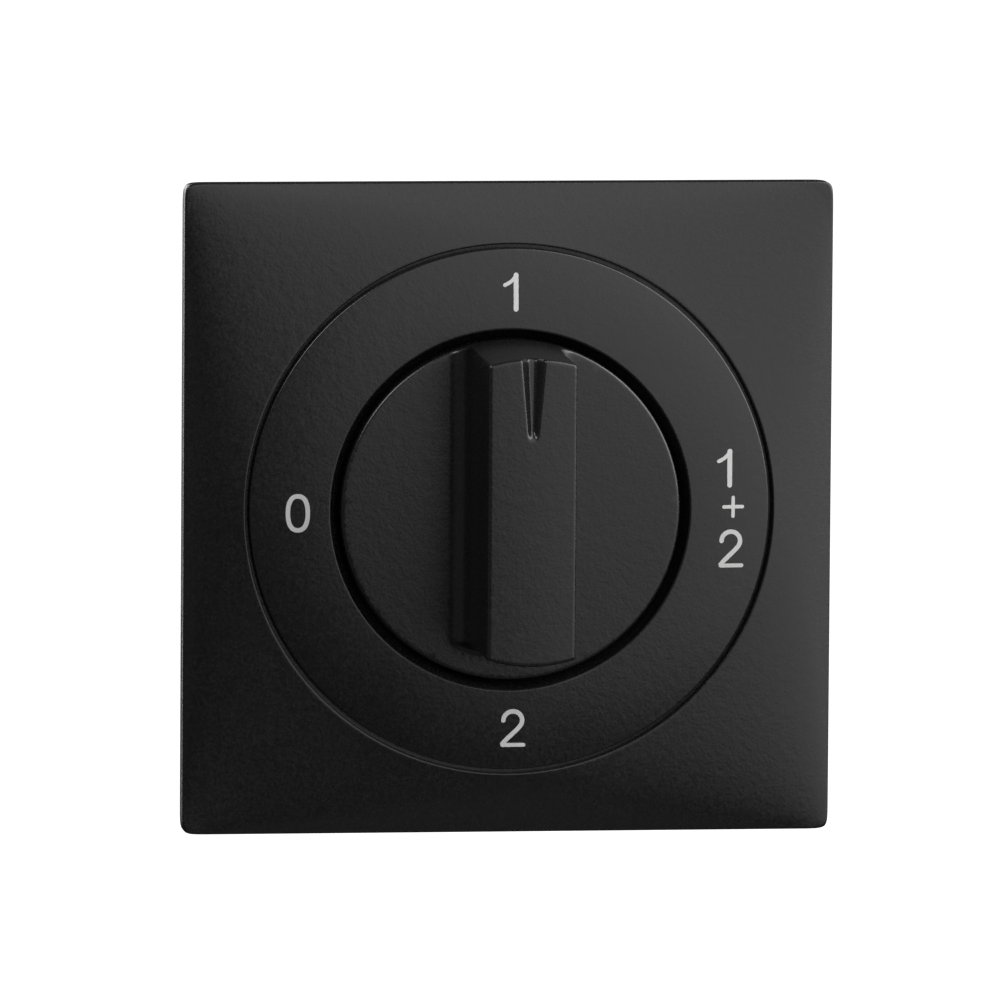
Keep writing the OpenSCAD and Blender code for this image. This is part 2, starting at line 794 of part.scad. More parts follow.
upright() face_frame();
upright() dial_ring();
upright() dial_marks();
upright() mounting_plate();
upright() panel_gasket();
upright() plate_screws();
upright() knob();
upright() knob_clip();
upright() spindle();
upright() spindle_bush();
upright() spindle_seal();
upright() spindle_clip();
upright() thrust_washer();
upright() front_housing();
upright() detent_cam();
upright() detent_springs();
upright() contact_carrier();
upright() contact_springs();
upright() contact_bridge();
upright() bridge_tips();
upright() battery_contact(1);  // battery_1_contact
upright() battery_contact(-1);  // battery_2_contact
upright() output_contact();
upright() off_insulator();
upright() body_seal();
upright() rear_housing();
upright() housing_screws();
upright() battery_stud(1);  // battery_1_stud
upright() battery_stud(-1);  // battery_2_stud
upright() output_stud();
upright() base_nuts();
upright() flat_washers();
upright() lock_washers();
upright() terminal_nuts();
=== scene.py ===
"""The looks of the battery selector switch.

Finer meshes for what shows, materials, light and camera.
"""

import json
from math import atan2, cos, hypot, pi, radians, sin, sqrt, tan

import bmesh
import bpy
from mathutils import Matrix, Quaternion, Vector
from mathutils.geometry import delaunay_2d_cdt

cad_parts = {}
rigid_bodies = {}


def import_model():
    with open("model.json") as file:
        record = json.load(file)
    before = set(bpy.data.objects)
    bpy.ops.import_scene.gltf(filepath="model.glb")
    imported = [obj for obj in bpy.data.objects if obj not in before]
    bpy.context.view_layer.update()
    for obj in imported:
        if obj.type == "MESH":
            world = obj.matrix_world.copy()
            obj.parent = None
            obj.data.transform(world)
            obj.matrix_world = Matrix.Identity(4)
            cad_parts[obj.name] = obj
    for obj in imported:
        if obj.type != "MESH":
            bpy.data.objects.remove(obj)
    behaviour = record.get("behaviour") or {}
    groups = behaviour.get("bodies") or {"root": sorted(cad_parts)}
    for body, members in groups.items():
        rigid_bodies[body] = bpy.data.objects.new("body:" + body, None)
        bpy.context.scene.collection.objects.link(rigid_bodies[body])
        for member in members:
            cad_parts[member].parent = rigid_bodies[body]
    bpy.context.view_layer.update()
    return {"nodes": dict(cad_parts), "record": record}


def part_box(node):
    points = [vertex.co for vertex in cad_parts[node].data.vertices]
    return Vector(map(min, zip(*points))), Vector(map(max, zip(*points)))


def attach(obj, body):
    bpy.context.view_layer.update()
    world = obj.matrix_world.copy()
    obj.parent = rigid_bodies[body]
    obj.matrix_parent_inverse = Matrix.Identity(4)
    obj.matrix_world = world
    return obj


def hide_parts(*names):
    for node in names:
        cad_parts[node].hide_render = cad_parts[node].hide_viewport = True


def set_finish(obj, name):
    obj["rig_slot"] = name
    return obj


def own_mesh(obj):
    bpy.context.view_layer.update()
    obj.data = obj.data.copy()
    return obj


for start_object in list(bpy.data.objects):
    bpy.data.objects.remove(start_object)

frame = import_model()
MM = 0.001

# ------------------------------------------------------------------ sizes, in millimetres

HALF = (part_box("face_frame")[1].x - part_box("face_frame")[0].x) / 2 / MM
RIM_H, CROWN_H, CROWN_POWER = 2.8, 5.75, 5
BORE_R = 35.8
LEDGE = 3.0
RING_R, RING_BORE_R = 35.25, 24.3
DISC_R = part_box("knob")[1].x / MM
DISC_H = 6.1
GRIP_TOP = -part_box("knob")[0].y / MM


def crown(a):
    """Height of the crowned face at a distance a from the axis."""
    return CROWN_H - (CROWN_H - RIM_H) * (a / HALF) ** CROWN_POWER


def dial(x, up, out):
    """A point right, up the dial and out of the panel in mm, as metres in the row's frame."""
    return (x * MM, -out * MM, up * MM)


def lerp(a, b, t):
    return a + (b - a) * t


# ------------------------------------------------------------------ mesh helpers

WELD, SLIVER = 1e-7, 1e-8
FLAT_FACE_WEIGHT = 60


def piece(name, points, faces, body, replaces=(), sharp=35.0, slot=None):
    """A mesh from dial points and faces, welded, and smooth apart from its sharp edges."""
    mesh = bpy.data.meshes.new(name)
    mesh.from_pydata([dial(*p) for p in points], [], faces)
    bm = bmesh.new()
    bm.from_mesh(mesh)
    bmesh.ops.remove_doubles(bm, verts=bm.verts, dist=WELD)
    bmesh.ops.dissolve_degenerate(bm, edges=bm.edges, dist=SLIVER)
    bmesh.ops.recalc_face_normals(bm, faces=bm.faces)
    smooth(bm, sharp)
    bm.to_mesh(mesh)
    bm.free()
    obj = bpy.data.objects.new(name, mesh)
    bpy.context.scene.collection.objects.link(obj)
    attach(obj, body)
    if replaces:
        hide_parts(*replaces)
    if slot:
        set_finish(obj, slot)
    flat = obj.modifiers.new("flat_faces", "WEIGHTED_NORMAL")
    flat.weight = FLAT_FACE_WEIGHT
    flat.keep_sharp = True
    return obj


def smooth(bm, sharp):
    """Smooth faces, with the edges that turn more than sharp degrees kept sharp."""
    for f in bm.faces:
        f.smooth = True
    for e in bm.edges:
        e.smooth = e.calc_face_angle(0.0) < radians(sharp)


def rings_mesh(rings, closed=False, around=True):
    """Faces between loops of equal length.

    With closed the last loop joins the first, and with around each loop's end joins its start.
    """
    n = len(rings[0])
    points = [p for ring in rings for p in ring]
    faces = []
    for j in range(len(rings) - (0 if closed else 1)):
        k = (j + 1) % len(rings)
        for i in range(n if around else n - 1):
            m = (i + 1) % n
            faces.append((j * n + i, j * n + m, k * n + m, k * n + i))
    return points, faces


def merged(meshes):
    """Several (points, faces) meshes as one."""
    points, faces = [], []
    for some_points, some_faces in meshes:
        base = len(points)
        points += some_points
        faces += [tuple(base + i for i in face) for face in some_faces]
    return points, faces


def lathe(profile, n=256):
    """Turns (radius, height) points about the axis."""
    return [
        [(r * cos(2 * pi * i / n), r * sin(2 * pi * i / n), z) for i in range(n)]
        for r, z in profile
    ]


def moved(rings, cx, cy):
    """Loops shifted across the dial."""
    return [[(x + cx, y + cy, z) for x, y, z in ring] for ring in rings]


def rounded(before, corner_point, after, r, steps=5):
    """Points of a rounded corner of radius r between two straight runs, in two dimensions."""
    b = (Vector(before) - Vector(corner_point)).normalized()
    a = (Vector(after) - Vector(corner_point)).normalized()
    half = b.angle(a) / 2
    reach = r / tan(half)
    centre = Vector(corner_point) + (a + b).normalized() * (r / sin(half))
    start = Vector(corner_point) + b * reach - centre
    end = Vector(corner_point) + a * reach - centre
    total = start.angle(end)
    out = []
    for i in range(steps + 1):
        t = i / steps
        w0, w1 = sin((1 - t) * total) / sin(total), sin(t * total) / sin(total)
        out.append(tuple(centre + start * w0 + end * w1))
    return out


# ------------------------------------------------------------------ trim frame

CORNER_POWER, POWER_GROWTH = 74.0, 1.2
OCTANT_STEPS, CORNER_CROWDING = 44, 1.75
FRAME_BORE_EDGE, FRAME_RIM_EDGE, FRAME_FOOT_EDGE = 0.22, 0.3, 0.12
BORE_EDGE_STEPS, RIM_EDGE_STEPS = 4, 5
EDGE_MARGIN = 0.06
FACE_LOOPS, HOLLOW_LOOPS = 44, 9
SIDE_WALL, FACE_THICKNESS = 1.5, 1.5
HOLLOW_R = 38.2
LIP_OUT, LIP_IN, LIP_BOTTOM = 1.2, 1.3, 2.1
PEG_CIRCLE_R = 37.8
PEG_PROFILE = [(0.0, 0.9), (0.95, 0.9), (1.2, 1.15), (1.2, 2.95), (0.0, 2.95)]


def frame_angles():
    """Directions for the frame's loops, closer together towards the corners."""
    octant = [
        45 * (1 - (1 - i / OCTANT_STEPS) ** CORNER_CROWDING) for i in range(OCTANT_STEPS + 1)
    ]
    quarter = octant[:-1] + [45.0] + [90 - a for a in reversed(octant[1:-1])]
    return [radians(q * 90 + a) for q in range(4) for a in quarter]


ANGLES = frame_angles()


def frame_loop(a, power, z):
    """A loop of half width a: a circle at power 2, a rounded square at a high power."""
    out = []
    for f in ANGLES:
        d = (abs(cos(f)) ** power + abs(sin(f)) ** power) ** (1 / power)
        out.append((a * cos(f) / d, a * sin(f) / d, z))
    return out


def loop_power(a):
    """The power of a loop between the round bore and the square outline."""
    t = max(0.0, (a - BORE_R) / (HALF - BORE_R))
    return 2 / (1 - t**POWER_GROWTH * (1 - 2 / CORNER_POWER))


def build_frame():
    bore_edge, rim = FRAME_BORE_EDGE, FRAME_RIM_EDGE
    loops = [
        frame_loop(BORE_R, 2, LEDGE),
        frame_loop(BORE_R, 2, crown(BORE_R) - bore_edge - 0.05),
    ]
    for i in range(BORE_EDGE_STEPS + 1):
        a = radians(90 * i / BORE_EDGE_STEPS)
        edge_r = BORE_R + bore_edge * (1 - cos(a))
        loops.append(
            frame_loop(edge_r, 2, crown(BORE_R + bore_edge) - bore_edge * (1 - sin(a)))
        )
    start = BORE_R + bore_edge + EDGE_MARGIN
    for i in range(FACE_LOOPS):
        a = start + (HALF - rim - EDGE_MARGIN - start) * i / (FACE_LOOPS - 1)
        loops.append(frame_loop(a, loop_power(a), crown(a)))
    top = crown(HALF - rim)
    for i in range(RIM_EDGE_STEPS + 1):
        a = radians(90 * i / RIM_EDGE_STEPS)
        loops.append(
            frame_loop(HALF - rim * (1 - sin(a)), CORNER_POWER, top - rim * (1 - cos(a)))
        )
    inner_wall = HALF - SIDE_WALL
    loops += [
        frame_loop(HALF, CORNER_POWER, top - rim - 0.1),
        frame_loop(HALF, CORNER_POWER, FRAME_FOOT_EDGE),
        frame_loop(HALF - FRAME_FOOT_EDGE, CORNER_POWER, 0.0),
        frame_loop(inner_wall, CORNER_POWER, 0.0),
    ]
    for i in range(HOLLOW_LOOPS):
        a = inner_wall - (inner_wall - HOLLOW_R) * i / (HOLLOW_LOOPS - 1)
        loops.append(frame_loop(a, loop_power(a), crown(a) - FACE_THICKNESS))
    loops += [
        frame_loop(BORE_R + LIP_OUT, 2, LEDGE),
        frame_loop(BORE_R + LIP_OUT, 2, LIP_BOTTOM),
        frame_loop(BORE_R - LIP_IN, 2, LIP_BOTTOM),
        frame_loop(BORE_R - LIP_IN, 2, LEDGE),
    ]
    piece(
        "trim_frame",
        *rings_mesh(loops, closed=True),
        body="switch_body",
        replaces=["face_frame"],
        sharp=50,
        slot="moulded_trim",
    )
    pegs = []
    for a in (radians(90 * q) for q in range(4)):
        pegs.append(rings_mesh(
            moved(lathe(PEG_PROFILE, 32), PEG_CIRCLE_R * cos(a), PEG_CIRCLE_R * sin(a))))
    piece("trim_frame_pegs", *merged(pegs), body="switch_body", slot="moulded_trim")


# ------------------------------------------------------------------ dial ring and numerals

RING_EDGE, RING_BORE_EDGE = 0.25, 0.3
RING_WALL, RING_THICKNESS, RING_BOTTOM = 1.4, 1.6, 3.1
RING_FACE_STEPS, RING_AROUND = 24, 320
GAP_FLOOR_R, GAP_FLOOR_BOTTOM, GAP_FLOOR_TOP = 19.5, 2.2, 2.8


def build_ring():
    """The ring, with the cone-shaped floor of the gap between it and the disc."""
    rim, bore = RING_R, RING_BORE_R
    inner = rounded(
        (bore - 0.15, LEDGE), (bore, crown(bore)), (bore + 1, crown(bore + 1)), RING_BORE_EDGE)
    outer = rounded((rim - 1, crown(rim - 1)), (rim, crown(rim)), (rim, LEDGE), RING_EDGE)
    radii = [bore + 0.38 + (rim - bore - 0.7) * i / RING_FACE_STEPS
             for i in range(RING_FACE_STEPS + 1)]
    profile = inner + [(r, crown(r)) for r in radii] + outer + [
        (rim, crown(rim) - RING_EDGE - 0.08),
        (rim, 3.2),
        (rim - 0.1, RING_BOTTOM),
        (rim - RING_WALL, RING_BOTTOM),
        (rim - RING_WALL, crown(rim) - RING_THICKNESS),
        (bore + RING_WALL, crown(bore) - RING_THICKNESS),
        (bore + RING_WALL, GAP_FLOOR_BOTTOM),
        (GAP_FLOOR_R, GAP_FLOOR_BOTTOM),
        (GAP_FLOOR_R, GAP_FLOOR_TOP),
        (DISC_R, 2.9),
        (bore - 0.55, 4.2),
        (bore - 0.12, 4.9),
    ]
    piece(
        "numbered_ring",
        *rings_mesh(lathe(profile, RING_AROUND), closed=True),
        body="switch_body",
        replaces=["dial_ring"],
        sharp=50,
        slot="moulded_trim",
    )


PEN, SERIF_PEN, PLUS_PEN, DIGIT_H = 0.61, 0.5, 0.47, 5.2
HALF_DIGIT = (DIGIT_H - PEN) / 2
ZERO_R, ZERO_POWER = 1.335, 2.35
BOWL_X, BOWL_Y, BOWL_R, BOWL_STEPS, BOWL_SWEEP = -0.04, 1.06, 1.275, 27, 212
PLUS_ARM = 1.27
NUMERALS = [
    ("1", 0.57, 29.4), ("2", 0.55, -29.6), ("0", -28.8, -0.28),
    ("1", 29.8, 5.42), ("+", 30.3, 0.19), ("2", 30.06, -5.48),
]
NUMERAL_TOP, NUMERAL_BOTTOM = 0.022, -0.14
GRID_STEP, GRID_HALF, GRID_SHIFT = 0.22, 14, 0.01


def bezier(p0, p1, p2, p3, n=16):
    """Points along a cubic curve."""
    out = []
    for i in range(n + 1):
        t = i / n
        u = 1 - t
        out.append(tuple(
            u**3 * a + 3 * u * u * t * b + 3 * u * t * t * c + t**3 * d
            for a, b, c, d in zip(p0, p1, p2, p3)))
    return out


def stroke(path, w):
    """Outline of a pen stroke with round ends."""
    p = [Vector(v) for v in path]
    normals = []
    for i in range(len(p)):
        d = (p[min(i + 1, len(p) - 1)] - p[max(i - 1, 0)]).normalized()
        normals.append(Vector((-d.y, d.x)))

    def cap(c, n):
        return [c + w / 2 * Vector((n.x * cos(a) + n.y * sin(a), n.y * cos(a) - n.x * sin(a)))
                for a in (radians(15 * k) for k in range(1, 12))]

    left = [q + n * w / 2 for q, n in zip(p, normals)]
    right = [q - n * w / 2 for q, n in zip(p, normals)][::-1]
    return left + cap(p[-1], normals[-1]) + right + cap(p[0], -normals[0])


def ellipse(rx, ry, n=64):
    """An oval that is a little squarer than an ellipse."""
    out = []
    for i in range(n):
        a = 2 * pi * i / n
        c, s = cos(a), sin(a)
        out.append(Vector((
            (1 if c >= 0 else -1) * rx * abs(c) ** (2 / ZERO_POWER),
            (1 if s >= 0 else -1) * ry * abs(s) ** (2 / ZERO_POWER))))
    return out


def digit(name):
    """(outlines to fill, outlines to leave open) of a numeral about its own centre."""
    if name == "0":
        return ([ellipse(ZERO_R + PEN / 2, DIGIT_H / 2)],
                [ellipse(ZERO_R - PEN / 2, DIGIT_H / 2 - PEN)])
    if name == "1":
        stem = stroke([(0, -HALF_DIGIT), (0, HALF_DIGIT)], PEN + 0.05)
        flag = stroke(
            bezier((0, HALF_DIGIT), (-0.22, 1.75), (-0.7, 1.3), (-1.52, 0.95)), SERIF_PEN)
        return [stem, flag], []
    if name == "2":
        bowl = []
        for i in range(BOWL_STEPS + 1):
            a = radians(180 - BOWL_SWEEP * i / BOWL_STEPS)
            bowl.append((BOWL_X + BOWL_R * cos(a), BOWL_Y + (HALF_DIGIT - BOWL_Y) * sin(a)))
        tail = bezier(bowl[-1], (0.62, -0.26), (-0.95, -1.45), (-1.41, -2.15))[1:]
        foot = stroke([(-1.41, -HALF_DIGIT), (1.46, -HALF_DIGIT)], PEN - 0.08)
        return [stroke(bowl + tail, PEN), foot], []
    across = stroke([(-PLUS_ARM, 0), (PLUS_ARM, 0)], PLUS_PEN)
    upright = stroke([(0, -PLUS_ARM), (0, PLUS_ARM)], PLUS_PEN)
    return [across, upright], []


def inside(c, outline):
    """Whether a point is inside a closed outline."""
    odd = False
    for a, b in zip(outline, outline[1:] + outline[:1]):
        if (a.y > c.y) != (b.y > c.y) and c.x < a.x + (b.x - a.x) * (c.y - a.y) / (b.y - a.y):
            odd = not odd
    return odd


def build_marks():
    """Thin numerals that follow the crown, filled with small triangles."""
    points, faces = [], []
    grid = range(-GRID_HALF, GRID_HALF + 1)
    for name, x, y in NUMERALS:
        fill, leave = digit(name)
        verts, polygons = [], []
        for outline in fill + leave:
            polygons.append(list(range(len(verts), len(verts) + len(outline))))
            verts += outline
        verts += [Vector((i * GRID_STEP, j * GRID_STEP + GRID_SHIFT)) for i in grid for j in grid]
        out, _, candidates, _, _, _ = delaunay_2d_cdt(verts, [], polygons, 0, 1e-5)
        tris = []
        for t in candidates:
            c = (out[t[0]] + out[t[1]] + out[t[2]]) / 3
            if any(inside(c, o) for o in fill) and not any(inside(c, o) for o in leave):
                tris.append(t)
        used = sorted({i for t in tris for i in t})
        top = {v: len(points) + k for k, v in enumerate(used)}
        low = {v: len(points) + len(used) + k for k, v in enumerate(used)}
        for z in (NUMERAL_TOP, NUMERAL_BOTTOM):
            for v in used:
                px, py = out[v].x + x, out[v].y + y
                points.append((px, py, crown(hypot(px, py)) + z))
        sides = {}
        for t in tris:
            faces.append(tuple(top[i] for i in t))
            faces.append(tuple(low[i] for i in reversed(t)))
            for a, b in zip(t, list(t[1:]) + [t[0]]):
                sides[(a, b)] = True
        for a, b in sides:
            if (b, a) not in sides:
                faces.append((top[b], top[a], low[a], low[b]))
    return piece("numerals", points, faces, body="switch_body", replaces=["dial_marks"],
                 sharp=40, slot="numeral_paint")


# ------------------------------------------------------------------ knob

DISC_DOME, DISC_DOME_POWER = 0.3, 1.9
DISC_UNDER, SKIRT_BOTTOM, SKIRT_WALL, SKIRT_EDGE = 3.9, 3.4, 1.4, 0.15
HUB_R, HUB_BOTTOM, SOCKET_R, SOCKET_TOP = 5.6, 3.5, 4.05, 19.5
GRIP_H = GRIP_TOP - DISC_H
GRIP_W_BASE, GRIP_W_TOP = 12.0, 11.88
FRONT_R_TOP = 22.45
BACK_R_BASE, BACK_R_TOP = 18.85, 18.74
EDGE = 0.45
GRIP_CROWN, CROWN_FADE = 0.08, 3.5
GRIP_HIGH = GRIP_H - GRIP_CROWN
TOP_FALL, TOP_FALL_FROM, TOP_FALL_REACH = 0.2, 2, 21
FOOT_SIDE, FOOT_BACK, FOOT_TURN = 2.55, 1.25, 1.7
POINTER_LENGTH = 10.25
POINTER_W = (1.4, 3.15)
POINTER_FLOOR_W = (0.45, 1.2)
POINTER_DEPTH = (0.7, 1.5)
POINTER_FLOOR_LIMIT = 0.6
POINTER_SOFT_TOP, POINTER_SOFT_FLOOR = 0.2, 0.35
POINTER_TIP_START, POINTER_TIP_SPAN = 0.07, 0.12
EDGE_STEPS, CORNER_STEPS, FOOT_STEPS, WALL_STEPS = 6, 8, 14, 9
WALL_DEPTHS = (0.4, 0.8, 1.2, 1.6, 2.1, 3.0)
EDGE_SHARES = [EDGE * (1 - cos(radians(90 * i / EDGE_STEPS))) for i in range(EDGE_STEPS + 1)]
ROWS, ACROSS, RIM_STEPS = 165, 86, 256
PLAIN_END_SHARES = (0.34, 0.67, 1.0)
DISC_CIRCLES, DISC_CIRCLE_FIRST, DISC_CIRCLE_STEP, DISC_AROUND = 18, 7.2, 0.88, 110
DISC_CLEARANCE = 0.22


def inset(e):
    """How far a rounded edge has turned in, at a distance e from its outer side."""
    return EDGE - sqrt(max(0.0, EDGE**2 - (EDGE - min(e, EDGE)) ** 2))


def disc_level(r):
    """The disc's top is a very shallow dome, in line with the ring round it."""
    return DISC_H - DISC_DOME * (r / DISC_R) ** DISC_DOME_POWER


def soft_low(v, r):
    """0 below -r, v above r, with a smooth turn between."""
    return 0.0 if v <= -r else v if v >= r else (v + r) ** 2 / (4 * r)


def trough(v, x):
    """Depth of the pointer's trough at v from the pointer end and x from its middle."""
    s = 1 - v / POINTER_LENGTH
    t = max(0.0, min(1.0, s))
    w, f = lerp(*POINTER_W, t) / 2, lerp(*POINTER_FLOOR_W, t) / 2
    if s < 0:
        w = sqrt(max(0.0, w * w - (s * POINTER_LENGTH) ** 2))
        f = min(f, w * POINTER_FLOOR_LIMIT)
    if w < 0.01:
        return 0.0
    slope = (w - abs(x)) / (w - f)
    k = 1 - soft_low(1 - soft_low(slope, POINTER_SOFT_TOP), POINTER_SOFT_FLOOR)
    end = max(0.0, min(1.0, (s + POINTER_TIP_START) / POINTER_TIP_SPAN))
    return lerp(*POINTER_DEPTH, t) * k * end * end * (3 - 2 * end)


def top_fall(y):
    """How far the top of the grip falls towards its two ends."""
    return TOP_FALL * ((y - TOP_FALL_FROM) / TOP_FALL_REACH) ** 2


def grip_profile():
    """Levels of the grip from the top down to the disc.

    Each is (offset from the wall, height above the disc, normal out, normal up, share of the foot).
    """
    out = []
    for i in range(EDGE_STEPS + 1):
        a = radians(90 * (1 - i / EDGE_STEPS))
        out.append((EDGE * (cos(a) - 1), GRIP_HIGH - EDGE * (1 - sin(a)), cos(a), sin(a), 0.0))
    walls = [GRIP_HIGH - EDGE - d for d in WALL_DEPTHS]
    low = walls[-1]
    walls += [lerp(low, FOOT_SIDE, t / WALL_STEPS) for t in range(1, WALL_STEPS + 1)]
    out += [(0.0, h, 1.0, 0.0, 0.0) for h in walls]
    for i in range(1, FOOT_STEPS + 1):
        a = radians(90 * i / FOOT_STEPS)
        share = 1 - cos(a)
        out.append((FOOT_SIDE * share, FOOT_SIDE * (1 - sin(a)), cos(a), sin(a), share))
    return out


PROFILE = grip_profile()
WALL_START, DEEP_ROW = EDGE_STEPS, EDGE_STEPS + len(WALL_DEPTHS)


def wall_x(h):
    return lerp(GRIP_W_BASE, GRIP_W_TOP, h / GRIP_H) / 2


def front_r(h):
    return lerp(DISC_R, FRONT_R_TOP, h / GRIP_H)


def grip_z(x, y, h):
    """Height of a point of the grip's wall, between the domed disc and the falling top."""
    t = max(0.0, min(1.0, h / GRIP_HIGH))
    return lerp(disc_level(hypot(x, y)), DISC_H - top_fall(y), t) + h


TOP_X = wall_x(PROFILE[0][1]) + PROFILE[0][0]
COLUMNS = [TOP_X * (2 * j / ACROSS - 1) for j in range(ACROSS + 1)]


def corner(station):
    """(wall, centre x, centre y, radius, plain-end radius) of the vertical corner at one level."""
    w, h, _, _, foot = station
    x = wall_x(h) + w
    back = lerp(BACK_R_BASE, BACK_R_TOP, h / GRIP_H) + (FOOT_BACK * foot if foot else w)
    turn = max(0.0, EDGE + w) if h > FOOT_SIDE and not foot else EDGE + FOOT_TURN * foot
    cx = x - turn
    return x, cx, -sqrt((back - turn) ** 2 - cx * cx), turn, back


def top_corner():
    """Where the three rounded edges meet at the right of the pointer end."""
    h = PROFILE[0][1]
    y = sqrt(front_r(h) ** 2 - TOP_X**2)
    return TOP_X, y, grip_z(TOP_X, y, h) - EDGE


def grip_loop(station):
    """One level of the grip: down its right side, round the plain end and up the left side."""
    w, h, nw, nh, _ = station
    x, cx, cy, turn, back = corner(station)
    side = []
    for e in EDGE_SHARES:
        if e == 0 and h >= PROFILE[WALL_START][1]:
            side.append(top_corner())
            continue
        px = wall_x(h) + w - inset(e) * nw
        py = sqrt((front_r(h) - e) ** 2 - px * px)
        side.append((px, py, grip_z(px, py, h) - inset(e) * nh))
    start = side[-1][1]
    flat = [(x, lerp(start, cy, i / ROWS)) for i in range(1, ROWS + 1)]
    sweep = atan2(-cy, cx)
    for i in range(1, CORNER_STEPS + 1):
        a = sweep * i / CORNER_STEPS
        flat.append((cx + turn * cos(a), cy - turn * sin(a)))
    side += [(px, py, grip_z(px, py, h)) for px, py in flat]
    last = cx * back / (back - turn)
    rise = GRIP_CROWN * max(0.0, 1 - (PROFILE[0][1] - h) / CROWN_FADE)
    arc = []
    for column in COLUMNS[1:-1]:
        px = -column * last / TOP_X
        py = -sqrt(back * back - px * px)
        arc.append((px, py, grip_z(px, py, h) + rise * (1 - (column / TOP_X) ** 2)))
    return side + arc + [(-px, py, pz) for px, py, pz in reversed(side)]


def grip_top():
    """Rows across the top of the grip, with the pointer, from the pointer end to the plain end."""
    reach = front_r(PROFILE[0][1])
    _, _, chord, _, back = corner(PROFILE[0])

    def row(y_at, down=0.0):
        out = []
        for x in COLUMNS:
            y = y_at(x)
            v = sqrt(reach * reach - x * x) - y
            z = GRIP_TOP - top_fall(y) - GRIP_CROWN * (x / TOP_X) ** 2 - trough(v, x)
            out.append((x, y, z - down))
        return out

    rows = [row(lambda x: sqrt((reach - e) ** 2 - x * x), inset(e)) for e in EDGE_SHARES]
    for i in range(1, ROWS + 1):
        rows.append(row(lambda x: lerp(sqrt((reach - EDGE) ** 2 - x * x), chord, i / ROWS)))
    for share in PLAIN_END_SHARES:
        rows.append(row(lambda x: lerp(chord, -sqrt(back * back - x * x), share)))
    return rows


def pointer_end(top_row):
    """Rows down the pointer end, flush with the side of the disc."""
    h_top, h_deep = PROFILE[WALL_START][1], PROFILE[DEEP_ROW][1]
    rows = [top_row]
    for w, h, nw, nh, _ in PROFILE[WALL_START + 1:]:
        wide = wall_x(h) + w - EDGE * nw
        r = front_r(h)
        fade = max(0.0, (h - h_deep) / (h_top - h_deep))
        row = []
        for column, above in zip(COLUMNS, top_row):
            x = column * wide / TOP_X
            y = sqrt(r * r - x * x)
            row.append((x, y, grip_z(x, y, h) - EDGE * nh + (above[2] - top_row[0][2]) * fade))
        rows.append(row)
    return rows


def disc_rim():
    """Loops of the disc's rounded rim, from the foot's right side round the back to its left."""
    foot_x = PROFILE[-1][0] + wall_x(0)
    first = atan2(sqrt(DISC_R**2 - foot_x**2), foot_x)
    span = 2 * first + pi
    rim = []
    for e in EDGE_SHARES:
        r = DISC_R - e
        loop = []
        for i in range(RIM_STEPS + 1):
            a = first - span * i / RIM_STEPS
            x, y = r * cos(a), r * sin(a)
            if i in (0, RIM_STEPS):
                x = foot_x if i == 0 else -foot_x
                y = sqrt(r * r - x * x)
            loop.append((x, y, disc_level(r) - inset(e)))
        rim.append(loop)
    return rim


def disc_top(foot, rim):
    """The domed top of the disc, between its rim and the foot of the grip."""
    border = [Vector(p[:2]) for p in rim] + [Vector(p[:2]) for p in reversed(foot[1:-1])]
    verts = list(border)
    for k in range(DISC_CIRCLES):
        r = DISC_CIRCLE_FIRST + k * DISC_CIRCLE_STEP
        for i in range(DISC_AROUND):
            a = 2 * pi * (i + 0.5 * (k % 2)) / DISC_AROUND
            c = Vector((r * cos(a), r * sin(a)))
            if inside(c, border) and min((c - q).length for q in border) > DISC_CLEARANCE:
                verts.append(c)
    out, _, tris, _, _, _ = delaunay_2d_cdt(verts, [], [list(range(len(border)))], 1, 1e-6)
    return [(v.x, v.y, disc_level(v.length)) for v in out], tris


def build_knob():
    loops = [grip_loop(s) for s in PROFILE]
    top = grip_top()
    end = pointer_end(top[0])
    rim = disc_rim()

    outer = list(end[-1]) + rim[0][1:-1]
    around = [(px / hypot(px, py), py / hypot(px, py)) for px, py, _ in outer]
    skirt_r = DISC_R - SKIRT_WALL
    under = [
        (DISC_R, outer[0][2] - 0.1),
        (DISC_R, SKIRT_BOTTOM + SKIRT_EDGE),
        (DISC_R - SKIRT_EDGE, SKIRT_BOTTOM),
        (skirt_r, SKIRT_BOTTOM),
        (skirt_r, DISC_UNDER),
        (HUB_R, DISC_UNDER),
        (HUB_R, HUB_BOTTOM),
        (SOCKET_R, HUB_BOTTOM),
        (SOCKET_R, SOCKET_TOP),
        (0.0, SOCKET_TOP),
    ]
    underside = [outer] + [[(r * c, r * d, z) for c, d in around] for r, z in under]

    sheets = [rings_mesh(rows, around=False) for rows in (loops, top, end, rim)]
    sheets.append(rings_mesh(underside))
    sheets.append(disc_top(loops[-1][EDGE_STEPS:-EDGE_STEPS], rim[-1]))
    piece("turn_knob", *merged(sheets), body="turning_knob", replaces=["knob"],
          sharp=50, slot="moulded_knob")


# ------------------------------------------------------------------ threaded studs

STUD_R, STUD_CIRCLE_R, STUD_CHAMFER = 4.0, 20.5, 0.8
STUD_AROUND, STEPS_PER_TURN = 72, 12
PITCH, THREAD_DEPTH, CREST_SHARE, FLANK_SHARE = 1.25, 0.6, 0.1, 0.72
HEAD_R, HEAD_H, HEAD_EDGE = 5.4, 1.9, 0.25
TIP_RADII, TIP_RISE = (2.2, 1.6), 0.12
THREAD_TOP = -36.75
STUD_ANGLES = {"battery_1_stud": 60, "battery_2_stud": -60, "output_stud": 180}


def thread_cut(turns):
    """Depth of the thread, from a narrow crest to a narrow root and back in each turn."""
    f = abs(2 * (turns % 1.0) - 1)
    return THREAD_DEPTH * max(0.0, min(1.0, (f - CREST_SHARE) / FLANK_SHARE))


